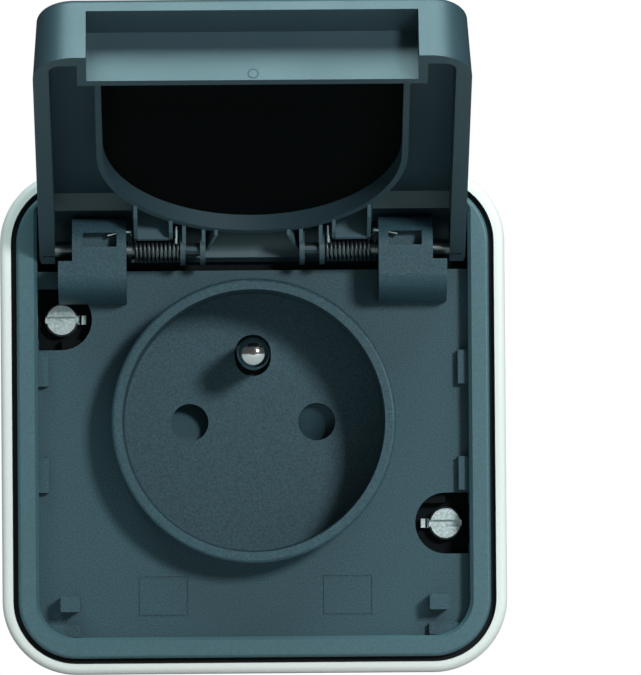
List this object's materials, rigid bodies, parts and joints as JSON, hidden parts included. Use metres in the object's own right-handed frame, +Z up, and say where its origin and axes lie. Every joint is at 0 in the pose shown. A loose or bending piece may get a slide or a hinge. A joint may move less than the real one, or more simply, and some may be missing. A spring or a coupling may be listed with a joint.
{
  "type": "power socket",
  "caption": "Splash-proof wall socket in a square surface box, with an earth pin, shuttered contact holes and a hinged cover standing open.",
  "frame": {"origin": "on the wall plane, straight behind the centre of the socket", "axes": "-Y points out of the wall through the socket, +Z up to the hinge, +X to the right as seen from the front"},
  "size_m": [0.075, 0.0954, 0.0975],
  "materials": {
    "box_plastic": "matte",
    "plate_plastic": "matte",
    "lid_plastic": "matte",
    "seal_rubber": "matte",
    "grommet_rubber": "matte",
    "carrier_plastic": "matte",
    "shutter_plastic": "matte",
    "plated_steel": "satin",
    "spring_steel": "satin",
    "pin_plating": "polished",
    "contact_brass": "satin"
  },
  "bodies": {
    "base": {"surface_box": "box_plastic", "cable_grommet_top": "grommet_rubber", "cable_grommet_bottom": "grommet_rubber", "box_seal": "seal_rubber", "border_frame": "plate_plastic", "front_plate": "plate_plastic", "fixing_screw_left": "plated_steel", "fixing_screw_right": "plated_steel", "captive_washer_left": "plated_steel", "captive_washer_right": "plated_steel", "contact_carrier": "carrier_plastic", "rear_cover": "carrier_plastic", "carrier_screws": "plated_steel", "line_contact": "contact_brass", "neutral_contact": "contact_brass", "earth_pin": "pin_plating", "earth_strap": "contact_brass", "line_terminal": "contact_brass", "neutral_terminal": "contact_brass", "earth_terminal": "contact_brass", "terminal_screws": "plated_steel", "shutter_spring": "spring_steel", "hinge_spring_left": "spring_steel", "hinge_spring_right": "spring_steel"},
    "lid": {"lid": "lid_plastic", "lid_seal": "seal_rubber", "hinge_pin_left": "plated_steel", "hinge_pin_right": "plated_steel"},
    "shutter": {"shutter": "shutter_plastic"}
  },
  "joints": [
    {"name": "lid_hinge", "type": "hinge", "parent": "base", "child": "lid", "pos_m": [0, -0.0445, 0.0255], "axis": [1, 0, 0], "range_deg": [0, 118]},
    {"name": "shutter_turn", "type": "hinge", "parent": "base", "child": "shutter", "pos_m": [0, -0.029, 0], "axis": [0, -1, 0], "range_deg": [0, 40], "stiffness_Nm_per_rad": 0.01}
  ]
}
